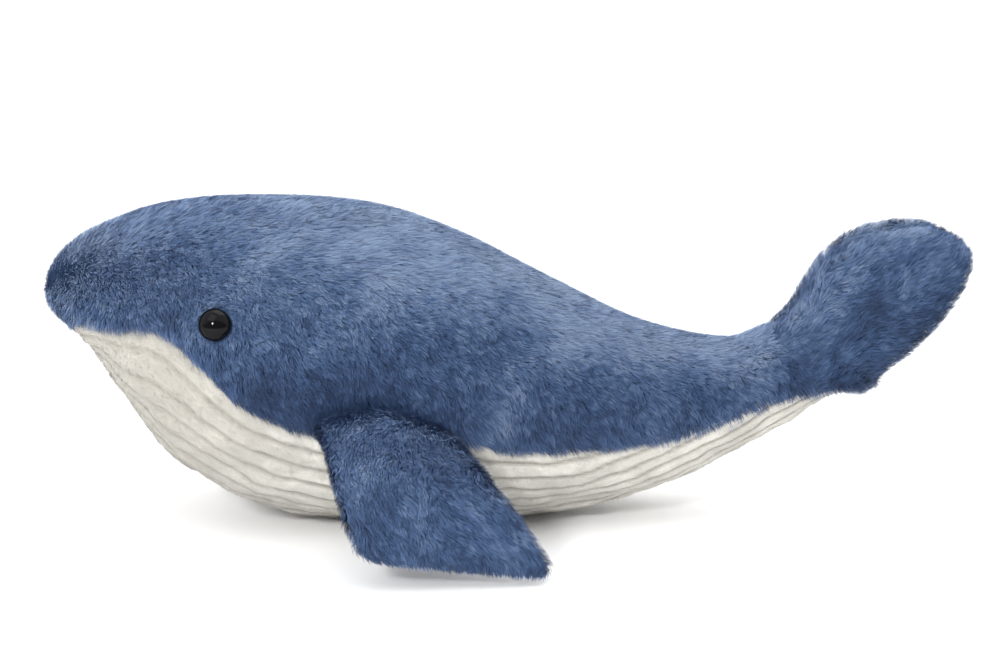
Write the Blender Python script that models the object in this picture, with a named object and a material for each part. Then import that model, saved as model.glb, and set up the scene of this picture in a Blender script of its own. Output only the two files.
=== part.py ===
"""Plush whale: a stuffed body with side fins and raised tail lobes.

The body is a loft between a back outline and a belly outline. Three skin
panels wrap its filling: two blue plush sides that meet along the back, and a
ribbed belly panel that runs from the mouth to the tail. Each fin and each
tail lobe is a flipper of two skin panels round its own filling, sewn to the
body along a root seam that it swings about. Safety eyes go through the skin
and are held by washers inside.

Metres, +Z up. The head points to -X and the whale rests on its belly.
"""

import math

import bmesh
import bpy
from mathutils import Matrix, Vector

# Body: overall size, as the fur's outer surface
BODY_LENGTH = 0.358
BODY_HEIGHT = 0.1385
BODY_WIDTH = 0.140
BELLY_FLAT_DEPTH = 0.0005

# Skin: laid pile and its backing, and the clearances between sewn pieces
SKIN_THICKNESS = 0.005
SEAM_GAP = 0.0004
FILLING_GAP = 0.0006
BODY_FILLING_GAP = 0.0018
LEAST_INNER_SHARE = 0.42
CORE_SHARE = 0.6
FILLING_INSET_SHARE = 1.4

# Fins
FIN_LENGTH = 0.072
FIN_CHORD = 0.074
FIN_THICKNESS = 0.016
FIN_EDGE_THICKNESS = 0.004
FIN_SWEEP = 0.0200
FIN_ROOT_STANDOFF = 0.0024
FIN_RISE_ANGLE = math.radians(14.0)
FIN_DROOP_ANGLE = math.radians(-72.0)
FIN_TABLE_GAP = 0.0002
FIN_SETTLE_STEPS = 12

# Tail lobes
LOBE_LENGTH = 0.0690
LOBE_CHORD = 0.0570
LOBE_THICKNESS = 0.018
LOBE_EDGE_THICKNESS = 0.005
LOBE_SWEEP = 0.0080
LOBE_ROOT_STANDOFF = 0.0018
LOBE_ROOT_SPREAD = 0.0062
LOBE_ROOT_RISE = 0.0002
LOBE_ROOT_ANGLE = math.radians(74.0)
LOBE_TIP_ANGLE = math.radians(102.0)

# Safety eyes
EYE_DIAMETER = 0.0135
EYE_DOME_HEIGHT = 0.0062
EYE_RIM_HEIGHT = 0.0014
EYE_SHANK_DIAMETER = 0.0040
EYE_SHANK_LENGTH = 0.0095
EYE_POCKET_DEPTH = 0.0034
EYE_FIT = 0.0004
WASHER_DIAMETER = 0.0150
WASHER_THICKNESS = 0.0016
WASHER_SETBACK = 0.0026
CUT_OVERRUN = 0.010

# Where things sit on the body, as shares of the way from mouth to tail and
# degrees round the section from the middle of the belly
EYE_STATION_SHARE = 0.380
EYE_RING_ANGLE = math.radians(109.0)
FIN_STATION_SHARES = (0.432, 0.562)
LOBE_STATION_SHARES = (0.802, 0.985)

# Back and belly outlines, section by section from the mouth to the tail:
# back x, back z, belly x, belly z as shares of body length and height, and
# the half width as a share of half the body width
SECTION_SHARES = (
    (0.018, 0.632, 0.018, 0.632, 0.00),
    (-0.004, 0.680, 0.050, 0.606, 0.29),
    (-0.008, 0.752, 0.065, 0.550, 0.45),
    (0.014, 0.842, 0.083, 0.430, 0.63),
    (0.060, 0.914, 0.117, 0.302, 0.79),
    (0.132, 0.978, 0.155, 0.174, 0.915),
    (0.238, 1.000, 0.240, 0.058, 1.00),
    (0.368, 0.980, 0.350, 0.000, 0.99),
    (0.474, 0.896, 0.474, 0.000, 0.89),
    (0.590, 0.746, 0.586, 0.012, 0.73),
    (0.698, 0.614, 0.691, 0.069, 0.56),
    (0.800, 0.560, 0.792, 0.173, 0.415),
    (0.862, 0.605, 0.865, 0.272, 0.34),
    (0.914, 0.545, 0.917, 0.362, 0.27),
    (0.958, 0.480, 0.958, 0.394, 0.19),
    (0.984, 0.432, 0.984, 0.432, 0.00),
)

# Angle of the belly seam at each of those sections, from the belly's middle
BELLY_SEAM_ANGLES = tuple(
    math.radians(angle)
    for angle in (62, 72, 89, 101, 102, 103, 83, 76.5, 77, 79, 82, 85, 83, 70, 48, 32)
)
SECTION_ROUNDNESS_SHARE = 0.92

# Flipper outlines from root to tip: span, leading edge and trailing edge as
# shares of the flipper's length and chord, before sweep
FIN_OUTLINE_SHARES = (
    (0.00, -0.44, 0.31),
    (0.25, -0.48, 0.34),
    (0.50, -0.52, 0.40),
    (0.75, -0.56, 0.53),
    (0.90, -0.55, 0.56),
    (1.00, -0.45, 0.45),
)
LOBE_OUTLINE_SHARES = (
    (0.00, -0.38, 0.41),
    (0.10, -0.39, 0.44),
    (0.26, -0.42, 0.47),
    (0.46, -0.44, 0.48),
    (0.63, -0.41, 0.47),
    (0.75, -0.33, 0.45),
    (0.87, -0.19, 0.41),
    (0.96, -0.03, 0.34),
    (1.00, 0.06, 0.28),
)

# Faces along and round each form
BODY_STEPS = 30
SIDE_STEPS = 8
BELLY_STEPS = 10
FILLING_RING_STEPS = 20
FILLING_END_STEPS = 4
FLIPPER_STEPS = 8
ROUND_STEPS = 20
DOME_STEPS = 5

# How the stations and the flippers' swelling are spread, and how edges are shaded
STATION_START_SHARE = 0.035
STATION_SPREAD_SHARE = 0.930
CHORD_SWELL_POWER = 0.55
SPAN_SWELL_POWER = 0.60
SPAN_SWELL_LEAN = 0.80
SHARP_ANGLE = math.radians(50.0)
MERGE_DISTANCE = 0.00002

PLUSH_BLUE = ("blue_plush", (0.095, 0.175, 0.345, 1.0), 0.95, 0.0)
RIBBED_WHITE = ("ribbed_velour", (0.760, 0.735, 0.670, 1.0), 0.90, 0.0)
FIBRE_WHITE = ("fibre_filling", (0.860, 0.860, 0.850, 1.0), 1.0, 0.0)
EYE_BLACK = ("eye_plastic", (0.012, 0.012, 0.014, 1.0), 0.12, 0.0)
WASHER_WHITE = ("washer_plastic", (0.700, 0.700, 0.680, 1.0), 0.45, 0.0)


def material(finish):
    """Return the Principled material of a finish, made once."""
    name, colour, roughness, metallic = finish
    found = bpy.data.materials.get(name)
    if found:
        return found
    made = bpy.data.materials.new(name)
    made.use_nodes = True
    shader = made.node_tree.nodes["Principled BSDF"]
    shader.inputs["Base Color"].default_value = colour
    shader.inputs["Roughness"].default_value = roughness
    shader.inputs["Metallic"].default_value = metallic
    return made


def smooth_row(rows, position):
    """Read a table of rows at a share of its length on a smooth curve."""
    last = len(rows) - 1
    place = min(max(position, 0.0), 1.0) * last
    index = min(int(place), last - 1)
    t = place - index
    before = rows[max(index - 1, 0)]
    start = rows[index]
    end = rows[index + 1]
    after = rows[min(index + 2, last)]
    values = []
    for p0, p1, p2, p3 in zip(before, start, end, after):
        slope_in = (p2 - p0) / 2
        slope_out = (p3 - p1) / 2
        values.append(
            (2 * t**3 - 3 * t**2 + 1) * p1
            + (t**3 - 2 * t**2 + t) * slope_in
            + (3 * t**2 - 2 * t**3) * p2
            + (t**3 - t**2) * slope_out
        )
    return values


class Body:
    """The body's outer surface, read by station and ring angle."""

    def section(self, station):
        """Return centre, up vector and half width at a share of the length."""
        row = smooth_row(SECTION_SHARES, station)
        back = Vector((row[0] * BODY_LENGTH, 0.0, row[1] * BODY_HEIGHT))
        belly = Vector((row[2] * BODY_LENGTH, 0.0, row[3] * BODY_HEIGHT - BELLY_FLAT_DEPTH))
        return (back + belly) / 2, (back - belly) / 2, row[4] * BODY_WIDTH / 2

    def point(self, station, angle):
        """Return a point of the outer surface."""
        centre, up, half_width = self.section(station)
        power = SECTION_ROUNDNESS_SHARE
        across = math.copysign(abs(math.sin(angle)) ** power, math.sin(angle))
        height = math.copysign(abs(math.cos(angle)) ** power, math.cos(angle))
        spoke = Vector((0.0, -across * half_width, 0.0)) - up * height
        return centre + spoke

    def inner_point(self, station, angle, depth):
        """Return the point a depth below the surface, less where the form is thin."""
        up, half_width = self.section(station)[1:]
        room = (1.0 - LEAST_INNER_SHARE) * min(up.length, half_width)
        inward = -self.normal(station, angle)
        return self.point(station, angle) + inward * depth * min(room / SKIN_THICKNESS, 1.0)

    def seam_angle(self, station):
        """Return the belly seam's ring angle at a station."""
        return smooth_row([(angle,) for angle in BELLY_SEAM_ANGLES], station)[0]

    def normal(self, station, angle):
        """Return the outward normal at a surface point."""
        step = 1.0 / (BODY_STEPS * BODY_STEPS)
        along = self.point(station + step, angle) - self.point(station - step, angle)
        around = self.point(station, angle + step) - self.point(station, angle - step)
        outward = around.cross(along).normalized()
        core = self.section((1.0 + CORE_SHARE * (2 * station - 1.0)) / 2)[0]
        return outward if outward.dot(self.point(station, angle) - core) > 0.0 else -outward


BODY = Body()


def new_object(name, mesh_builder, finish, collection):
    """Make an object of a bmesh builder's closed mesh."""
    builder = bmesh.new()
    mesh_builder(builder)
    bmesh.ops.recalc_face_normals(builder, faces=builder.faces)
    if builder.calc_volume(signed=True) < 0.0:
        bmesh.ops.reverse_faces(builder, faces=builder.faces)
    mesh = bpy.data.meshes.new(name)
    builder.to_mesh(mesh)
    builder.free()
    mesh.materials.append(material(finish))
    mesh.shade_smooth()
    mesh.set_sharp_from_angle(angle=SHARP_ANGLE)
    made = bpy.data.objects.new(name, mesh)
    collection.objects.link(made)
    return made


def skin_sheet(builder, outer, inner):
    """Close the space between an outer and an inner grid of points."""
    rows = len(outer)
    columns = len(outer[0])
    sides = []
    for grid in (outer, inner):
        sides.append([[builder.verts.new(point) for point in row] for row in grid])
    top, bottom = sides
    for i in range(rows - 1):
        for j in range(columns - 1):
            for side in sides:
                quad = (side[i][j], side[i][j + 1], side[i + 1][j + 1], side[i + 1][j])
                builder.faces.new(quad)
    for i in range(rows - 1):
        for j in (0, columns - 1):
            builder.faces.new((top[i][j], top[i + 1][j], bottom[i + 1][j], bottom[i][j]))
    for j in range(columns - 1):
        for i in (0, rows - 1):
            builder.faces.new((top[i][j], top[i][j + 1], bottom[i][j + 1], bottom[i][j]))


def body_stations(steps):
    """Return stations spaced closer at the rounded head and tail."""
    places = [
        STATION_START_SHARE + STATION_SPREAD_SHARE * step / steps for step in range(steps + 1)
    ]
    return [(1.0 - math.cos(math.pi * place)) / 2 for place in places]


def body_panel(name, side, finish, collection):
    """Make one body skin panel: side -1 left, +1 right, 0 belly."""

    def build(builder):
        columns = BELLY_STEPS if side == 0 else SIDE_STEPS
        outer = []
        inner = []
        for station in body_stations(BODY_STEPS):
            seam = BODY.seam_angle(station)
            radius = (BODY.point(station, seam) - BODY.section(station)[0]).length
            gap = SEAM_GAP / max(radius, SKIN_THICKNESS)
            if side == 0:
                first, last = -seam + gap, seam - gap
            else:
                first, last = -side * (seam + gap), -side * (math.pi - gap)
            angles = [first + (last - first) * j / columns for j in range(columns + 1)]
            outer.append([BODY.point(station, angle) for angle in angles])
            inner.append([BODY.inner_point(station, angle, SKIN_THICKNESS) for angle in angles])
        skin_sheet(builder, outer, inner)

    return new_object(name, build, finish, collection)


def body_filling(name, collection):
    """Make the stuffing that the body's three panels hold."""

    def build(builder):
        rings = []
        stations = body_stations(BODY_STEPS)[FILLING_END_STEPS:-FILLING_END_STEPS]
        for station in stations:
            ring = []
            for step in range(FILLING_RING_STEPS):
                angle = 2 * math.pi * step / FILLING_RING_STEPS
                depth = SKIN_THICKNESS + BODY_FILLING_GAP
                ring.append(builder.verts.new(BODY.inner_point(station, angle, depth)))
            rings.append(ring)
        for fore, aft in zip(rings, rings[1:]):
            for step in range(FILLING_RING_STEPS):
                after = (step + 1) % FILLING_RING_STEPS
                builder.faces.new((fore[step], fore[after], aft[after], aft[step]))
        builder.faces.new(rings[0])
        builder.faces.new(rings[-1])

    return new_object(name, build, FIBRE_WHITE, collection)


class Flipper:
    """A fin or lobe's middle surface, with its thickness at each point."""

    def __init__(self, root, along, out, up, sizes, outline):
        self.root = root
        self.along = along
        self.out = out
        self.up = up
        self.length, self.chord, self.thickness, self.edge, self.sweep = sizes[:5]
        self.standoff, self.start_angle, self.end_angle = sizes[5:]
        self.outline = outline
        self.bulge = 0.0

    def edges(self, span):
        """Return the leading and trailing edge at a span share."""
        for before, after in zip(self.outline, self.outline[1:]):
            if span <= after[0]:
                t = (span - before[0]) / (after[0] - before[0])
                lead = before[1] + (after[1] - before[1]) * t
                trail = before[2] + (after[2] - before[2]) * t
                return lead, trail
        return self.outline[-1][1:]

    def point(self, span, across, height_share):
        """Return a point at span and chord shares, above or below the middle."""
        lead, trail = self.edges(span)
        place = (lead + (trail - lead) * across) * self.chord + self.sweep * span
        turn = self.end_angle - self.start_angle
        angle = self.start_angle + turn * span
        reach = self.length / turn * (math.sin(angle) - math.sin(self.start_angle))
        rise = self.length / turn * (math.cos(self.start_angle) - math.cos(angle))
        reach += self.standoff * math.cos(self.start_angle)
        reach += self.bulge * 4 * across * (1 - across) * (1 - span)
        rise += self.standoff * math.sin(self.start_angle)
        above = self.up * math.cos(angle) - self.out * math.sin(angle)
        swell = self.swell(span, across)
        half = (self.edge + (self.thickness - self.edge) * swell) / 2
        flat = self.root + self.along * place + self.out * reach + self.up * rise
        return flat + above * half * height_share

    def swell(self, span, across):
        """Return how far the flipper is filled at a place, from 0 to 1."""
        chordwise = max(4 * across * (1 - across), 0.0) ** CHORD_SWELL_POWER
        lean = span**SPAN_SWELL_LEAN
        spanwise = max(math.sin(math.pi * lean), 0.0) ** SPAN_SWELL_POWER
        return chordwise * spanwise

    def settle(self, height):
        """Swing the flipper about its root until its lowest point is at a height."""
        shares = [step / FLIPPER_STEPS for step in range(FLIPPER_STEPS + 1)]
        for _ in range(FIN_SETTLE_STEPS):
            points = [
                self.point(span, across, face)
                for span in shares
                for across in shares
                for face in (1, -1)
            ]
            lowest = min(points, key=lambda point: point.z)
            reach = (lowest - self.root).dot(self.out)
            turn = (height - lowest.z) / reach
            self.start_angle += turn
            self.end_angle += turn

    def seam_matrix(self):
        """Return the frame of the root seam, with +X along it."""
        axes = Matrix((self.along, self.out, self.up)).transposed().to_4x4()
        if axes.determinant() < 0.0:
            axes = Matrix((self.along, -self.out, self.up)).transposed().to_4x4()
        rise = self.out * math.cos(self.start_angle) + self.up * math.sin(self.start_angle)
        return Matrix.Translation(self.root + rise * self.standoff) @ axes


def flipper_panel(name, flipper, face, collection):
    """Make the upper (face 1) or under (face -1) skin of a flipper."""

    def build(builder):
        shares = [step / FLIPPER_STEPS for step in range(FLIPPER_STEPS + 1)]
        outer = []
        inner = []
        for span in shares:
            outer.append([flipper.point(span, across, face) for across in shares])
            inner.append([inner_point(flipper, span, across, face, SEAM_GAP) for across in shares])
        skin_sheet(builder, outer, inner)

    return new_object(name, build, PLUSH_BLUE, collection)


def inner_point(flipper, span, across, face, gap):
    """Return the point inside a flipper's skin, a gap from the other skin."""
    half = (flipper.edge + (flipper.thickness - flipper.edge) * flipper.swell(span, across)) / 2
    hollow = half * flipper.swell(span, across) * (1.0 - flipper.edge / flipper.thickness)
    return flipper.point(span, across, face * (hollow + gap / 2) / half)


def flipper_filling(name, flipper, collection):
    """Make the stuffing inside a flipper's two skins."""

    def build(builder):
        inset = FILLING_INSET_SHARE * flipper.edge / flipper.length
        shares = [
            inset + (1.0 - 2 * inset) * step / FLIPPER_STEPS for step in range(FLIPPER_STEPS + 1)
        ]
        faces = []
        for face in (1, -1):
            rows = []
            for span in shares:
                rows.append(
                    [inner_point(flipper, span, across, face, -2 * FILLING_GAP) for across in shares]
                )
            faces.append(rows)
        skin_sheet(builder, *faces)

    return new_object(name, build, FIBRE_WHITE, collection)


def make_flipper(prefix, flipper, collection):
    """Make a flipper's three pieces on an empty at the root seam that they swing about."""
    pieces = [
        flipper_panel(prefix + "_top_panel", flipper, 1, collection),
        flipper_panel(prefix + "_underside_panel", flipper, -1, collection),
        flipper_filling(prefix + "_filling", flipper, collection),
    ]
    seam = bpy.data.objects.new(prefix + "_seam", None)
    seam.matrix_world = flipper.seam_matrix()
    collection.objects.link(seam)
    for piece in pieces:
        piece.data.transform(flipper.seam_matrix().inverted())
        piece.parent = seam


def fin(side):
    """Return the flipper of a side fin; its root follows the belly seam."""
    fore, aft = FIN_STATION_SHARES
    front = BODY.point(fore, -side * BODY.seam_angle(fore))
    rear = BODY.point(aft, -side * BODY.seam_angle(aft))
    along = (rear - front).normalized()
    out = along.cross(Vector((0.0, 0.0, 1.0))).normalized()
    if out.y * side < 0.0:
        out = -out
    up = along.cross(out)
    if up.z < 0.0:
        up = -up
    sizes = (
        FIN_LENGTH,
        FIN_CHORD,
        FIN_THICKNESS,
        FIN_EDGE_THICKNESS,
        FIN_SWEEP,
        FIN_ROOT_STANDOFF,
        FIN_RISE_ANGLE,
        FIN_DROOP_ANGLE,
    )
    made = Flipper((front + rear) / 2, along, out, up, sizes, FIN_OUTLINE_SHARES)
    middle = (fore + aft) / 2
    surface = BODY.point(middle, -side * BODY.seam_angle(middle))
    made.bulge = (surface - made.root).dot(out)
    made.settle(FIN_TABLE_GAP)
    return made


def tail_lobe(side):
    """Return the flipper of a tail lobe; its root follows the top of the tail."""
    fore, aft = LOBE_STATION_SHARES
    front = BODY.point(fore, math.pi)
    rear = BODY.point(aft, math.pi)
    along = (rear - front).normalized()
    out = Vector((0.0, side, 0.0))
    up = along.cross(out)
    if up.z < 0.0:
        up = -up
    sizes = (
        LOBE_LENGTH,
        LOBE_CHORD,
        LOBE_THICKNESS,
        LOBE_EDGE_THICKNESS,
        LOBE_SWEEP,
        LOBE_ROOT_STANDOFF,
        LOBE_ROOT_ANGLE,
        LOBE_TIP_ANGLE,
    )
    root = (front + rear) / 2 + out * LOBE_ROOT_SPREAD + up * LOBE_ROOT_RISE
    return Flipper(root, along, out, up, sizes, LOBE_OUTLINE_SHARES)


def eye_frame(side):
    """Return the matrix whose origin is on the skin and whose +Z looks out."""
    angle = -side * EYE_RING_ANGLE
    place = BODY.point(EYE_STATION_SHARE, angle)
    outward = BODY.normal(EYE_STATION_SHARE, angle)
    if outward.y * side < 0.0:
        outward = -outward
    turn = outward.to_track_quat("Z", "Y").to_matrix().to_4x4()
    return Matrix.Translation(place) @ turn


def turned(name, profile, matrix, finish, collection):
    """Make a solid of revolution from (radius, height) points on its axis."""

    def build(builder):
        points = [builder.verts.new((radius, 0.0, height)) for radius, height in profile]
        edges = [builder.edges.new(pair) for pair in zip(points, points[1:])]
        bmesh.ops.spin(
            builder,
            geom=points + edges,
            axis=(0.0, 0.0, 1.0),
            cent=(0.0, 0.0, 0.0),
            angle=2 * math.pi,
            steps=ROUND_STEPS,
        )
        bmesh.ops.remove_doubles(builder, verts=builder.verts, dist=MERGE_DISTANCE)
        bmesh.ops.transform(builder, matrix=matrix, verts=builder.verts)

    return new_object(name, build, finish, collection)


def safety_eye(name, matrix, collection):
    """Make a domed eye with its stepped shank."""
    radius = EYE_DIAMETER / 2
    shank = EYE_SHANK_DIAMETER / 2
    base = -EYE_POCKET_DEPTH + EYE_FIT
    profile = [(0.0, base - EYE_SHANK_LENGTH), (shank, base - EYE_SHANK_LENGTH), (shank, base)]
    profile += [(radius, base)]
    dome = EYE_DOME_HEIGHT - EYE_RIM_HEIGHT
    for step in range(DOME_STEPS):
        angle = math.pi / 2 * step / DOME_STEPS
        height = base + EYE_RIM_HEIGHT + dome * math.sin(angle)
        profile.append((radius * math.cos(angle), height))
    profile.append((0.0, base + EYE_RIM_HEIGHT + dome))
    return turned(name, profile, matrix, EYE_BLACK, collection)


def eye_washer(name, matrix, collection):
    """Make the washer that holds the shank behind the skin."""
    hole = EYE_SHANK_DIAMETER / 2 + EYE_FIT
    radius = WASHER_DIAMETER / 2
    top = -SKIN_THICKNESS - WASHER_SETBACK
    profile = [(hole, top), (hole, top - WASHER_THICKNESS)]
    profile += [(radius, top - WASHER_THICKNESS), (radius, top), (hole, top)]
    return turned(name, profile, matrix, WASHER_WHITE, collection)


def cylinder_cutter(name, radius, bottom, top, matrix, cutters):
    """Make a hidden cylinder between two heights of an eye's axis."""
    profile = [(0.0, bottom), (radius, bottom), (radius, top), (0.0, top)]
    made = turned(name, profile, matrix, EYE_BLACK, cutters)
    made.hide_render = True
    made.display_type = "WIRE"
    return made


def cut(target, cutter):
    """Cut one object with another."""
    modifier = target.modifiers.new("cut_" + cutter.name, "BOOLEAN")
    modifier.operation = "DIFFERENCE"
    modifier.solver = "EXACT"
    modifier.object = cutter


def mount_eye(side, side_name, panel, filling, collection, cutters):
    """Fit an eye through a side panel, with its washer and their holes."""
    matrix = eye_frame(side)
    safety_eye(side_name + "_eye", matrix, collection)
    eye_washer(side_name + "_eye_washer", matrix, collection)
    pocket = cylinder_cutter(
        side_name + "_eye_pocket",
        EYE_DIAMETER / 2 + EYE_FIT,
        -EYE_POCKET_DEPTH,
        CUT_OVERRUN,
        matrix,
        cutters,
    )
    bore = cylinder_cutter(
        side_name + "_shank_hole",
        EYE_SHANK_DIAMETER / 2 + EYE_FIT,
        -SKIN_THICKNESS - CUT_OVERRUN,
        CUT_OVERRUN,
        matrix,
        cutters,
    )
    room = cylinder_cutter(
        side_name + "_washer_room",
        WASHER_DIAMETER / 2 + EYE_FIT,
        -EYE_POCKET_DEPTH - EYE_SHANK_LENGTH - EYE_FIT,
        CUT_OVERRUN,
        matrix,
        cutters,
    )
    cut(panel, pocket)
    cut(panel, bore)
    cut(filling, room)


def flatten_belly(panel):
    """Cut the belly flat where the whale rests, on the plane z = 0."""
    builder = bmesh.new()
    builder.from_mesh(panel.data)
    parts = builder.verts[:] + builder.edges[:] + builder.faces[:]
    sliced = bmesh.ops.bisect_plane(
        builder, geom=parts, plane_co=(0, 0, 0), plane_no=(0, 0, 1), clear_inner=True
    )
    rim = [item for item in sliced["geom_cut"] if isinstance(item, bmesh.types.BMEdge)]
    bmesh.ops.contextual_create(builder, geom=rim)
    bmesh.ops.recalc_face_normals(builder, faces=builder.faces)
    builder.to_mesh(panel.data)
    builder.free()


def centre_on_base(objects):
    """Move everything so that the origin is below the middle of the whole."""
    bpy.context.view_layer.update()
    solids = [item for item in objects if item.type == "MESH"]
    corners = [item.matrix_world @ vertex.co for item in solids for vertex in item.data.vertices]
    middle = (min(corner.x for corner in corners) + max(corner.x for corner in corners)) / 2
    for item in objects:
        if item.parent is None:
            item.location.x -= middle


def main():
    """Build the whale."""
    for item in list(bpy.data.objects):
        bpy.data.objects.remove(item, do_unlink=True)
    whale = bpy.data.collections.new("plush_whale")
    cutters = bpy.data.collections.new("cutters")
    bpy.context.scene.collection.children.link(whale)
    bpy.context.scene.collection.children.link(cutters)

    panels = {}
    for side, side_name in ((-1, "left"), (1, "right")):
        panels[side] = body_panel(side_name + "_side_panel", side, PLUSH_BLUE, whale)
    belly = body_panel("belly_panel", 0, RIBBED_WHITE, whale)
    flatten_belly(belly)
    filling = body_filling("body_filling", whale)
    for side, side_name in ((-1, "left"), (1, "right")):
        mount_eye(side, side_name, panels[side], filling, whale, cutters)
        make_flipper(side_name + "_fin", fin(side), whale)
        make_flipper(side_name + "_lobe", tail_lobe(side), whale)
    centre_on_base([*whale.objects, *cutters.objects])


main()
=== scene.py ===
"""Looks of a plush whale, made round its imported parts.

Laid blue pile on the sides, fins and tail lobes, a ribbed velour belly,
glossy safety eyes and the stuffing inside. Metres, +Z up, head towards -X.
"""

import functools
import math

import bpy
import numpy as np
from mathutils import Matrix, Vector
from mathutils.kdtree import KDTree


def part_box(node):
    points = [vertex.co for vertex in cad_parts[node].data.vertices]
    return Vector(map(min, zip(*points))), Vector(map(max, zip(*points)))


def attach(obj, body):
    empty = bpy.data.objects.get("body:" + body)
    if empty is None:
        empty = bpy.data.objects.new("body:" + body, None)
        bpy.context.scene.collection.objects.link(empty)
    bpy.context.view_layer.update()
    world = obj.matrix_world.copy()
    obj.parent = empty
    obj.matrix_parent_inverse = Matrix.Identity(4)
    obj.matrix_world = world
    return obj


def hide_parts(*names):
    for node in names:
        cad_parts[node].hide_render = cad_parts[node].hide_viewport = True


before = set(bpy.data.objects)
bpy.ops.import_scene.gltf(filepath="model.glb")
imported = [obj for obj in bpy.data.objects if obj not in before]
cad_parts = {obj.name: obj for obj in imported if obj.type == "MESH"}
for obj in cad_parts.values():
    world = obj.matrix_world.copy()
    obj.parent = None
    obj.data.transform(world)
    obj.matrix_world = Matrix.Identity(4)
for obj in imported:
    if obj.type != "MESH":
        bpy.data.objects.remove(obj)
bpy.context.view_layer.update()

bl_info = {
    "name": "Plush whale looks",
    "version": (1, 0, 0),
    "blender": (4, 5, 0),
    "location": "View3D > Sidebar > Plush whale",
    "description": "Pile, ribbed belly, eyes, stuffing and studio of a plush whale",
    "category": "Add Mesh",
}

BAKE_UV = "OFBake"
SIDES = ((-1, "left"), (1, "right"))

# Body form: overall size, then back x, back z, belly x, belly z and half
# width of each section as shares, and the belly seam's angles in degrees
BODY_LENGTH = 0.358
BODY_HEIGHT = 0.1385
BODY_WIDTH = 0.140
BELLY_FLAT_DEPTH = 0.0005
ROUNDNESS = 0.92
SECTIONS = (
    (0.018, 0.632, 0.018, 0.632, 0.00),
    (-0.004, 0.680, 0.050, 0.606, 0.29),
    (-0.008, 0.752, 0.065, 0.550, 0.45),
    (0.014, 0.842, 0.083, 0.430, 0.63),
    (0.060, 0.914, 0.117, 0.302, 0.79),
    (0.132, 0.978, 0.155, 0.174, 0.915),
    (0.238, 1.000, 0.240, 0.058, 1.00),
    (0.368, 0.980, 0.350, 0.000, 0.99),
    (0.474, 0.896, 0.474, 0.000, 0.89),
    (0.590, 0.746, 0.586, 0.012, 0.73),
    (0.698, 0.614, 0.691, 0.069, 0.56),
    (0.800, 0.560, 0.792, 0.173, 0.415),
    (0.862, 0.605, 0.865, 0.272, 0.34),
    (0.914, 0.545, 0.917, 0.362, 0.27),
    (0.958, 0.480, 0.958, 0.394, 0.19),
    (0.984, 0.432, 0.984, 0.432, 0.00),
)
SEAM_ANGLES = (62, 72, 89, 101, 102, 103, 83, 76.5, 77, 79, 82, 85, 83, 70, 48, 32)

# How much of the body its core spans, how much of a narrow section stays
# inside the skins, the room below which they lie shallower, and their first
# and last stations
CORE_SHARE = 0.6
LEAST_INNER_SHARE = 0.42
FULL_ROOM = 0.005
END_STATION = 0.003

# Fins and lobes: length, chord, thickness, edge thickness, sweep, standoff
# from the body, and the outlines from root to tip. Skirts give how far the
# skin reaches below the root at its ends and how much more amid them, as
# shares of the length, then how far it spreads there and how high the top of
# the root swells
FIN_SIZES = (0.072, 0.074, 0.016, 0.004, 0.0200, 0.0024)
FIN_ANGLES = (math.radians(14.0), math.radians(-72.0))
FIN_STATIONS = (0.432, 0.562)
FIN_TABLE_GAP = 0.0002
FIN_OUTLINE = (
    (0.00, -0.44, 0.31),
    (0.25, -0.48, 0.34),
    (0.50, -0.52, 0.40),
    (0.75, -0.52, 0.53),
    (0.90, -0.50, 0.61),
    (1.00, -0.38, 0.57),
)
LOBE_SIZES = (0.0690, 0.0570, 0.018, 0.005, 0.0080, 0.0018)
LOBE_ANGLES = (math.radians(74.0), math.radians(102.0))
LOBE_STATIONS = (0.802, 0.985)
LOBE_ROOT_SPREAD = 0.0062
LOBE_ROOT_RISE = 0.0002
LOBE_OUTLINE = (
    (-0.06, -0.44, 0.40),
    (0.00, -0.42, 0.41),
    (0.10, -0.40, 0.44),
    (0.26, -0.42, 0.50),
    (0.46, -0.43, 0.53),
    (0.63, -0.37, 0.53),
    (0.75, -0.27, 0.51),
    (0.87, -0.10, 0.47),
    (0.96, 0.06, 0.40),
    (1.00, 0.14, 0.33),
)
FIN_SKIRT = (0.05, 0.0, 0.0, 0.0065)
LOBE_SKIRT = (0.02, 0.17, 0.0130, 0.0)

# A pocket's swell over chord and span and its lean to the root, how square its
# edge is, where its tip rounds off and how thick it stays, how far u may run
# past the tip and the skirt, and how far up and round the root's forms reach
SWELL_POWERS = (0.55, 0.60, 0.80)
EDGE_SQUARENESS = 2.6
TIP_START, TIP_GAP = 0.86, 0.03
PAST_TIP, PAST_SKIRT = 1.05, 1.1
TIP_INSET, SKIRT_LEAN = 1.3, 0.8
SPREAD_END, SPREAD_FACE, SPREAD_POWER = 0.30, 0.9, 0.6
SWELL_REACH, SWELL_FACE = (0.02, 0.38), 0.7
CORE_SPAN, CORE_CHORD = 0.9, 0.7
SETTLE_STEPS = 12
SETTLE_GRID = 9

# Eyes: place, the pocket's depth and fit, then the dome and its shank
EYE_STATION = 0.380
EYE_ANGLE = math.radians(109.0)
EYE_POCKET_DEPTH = 0.0034
EYE_FIT = 0.0004
EYE_RIM = 0.0014
EYE_EDGE = 0.0003
SHANK_RADIUS = 0.0020
AXIS_RADIUS = 0.00002
DOME_STEPS = 24
EYE_STEPS = 72

# How deep the skins lie below the outline, the stuffing inside them, and the
# colour of the backing cloth
PILE_DEPTH = 0.0034
FLIPPER_PILE_DEPTH = 0.0026
VELOUR_DEPTH = 0.0004
STUFFING_DEPTH = 0.0068
FIN_STUFFING_DEPTH = 0.0055
LOBE_STUFFING_DEPTH = 0.006
STUFFING_SHRINK = 0.0008
BACKING_BLUE = (0.075, 0.140, 0.275)

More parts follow.
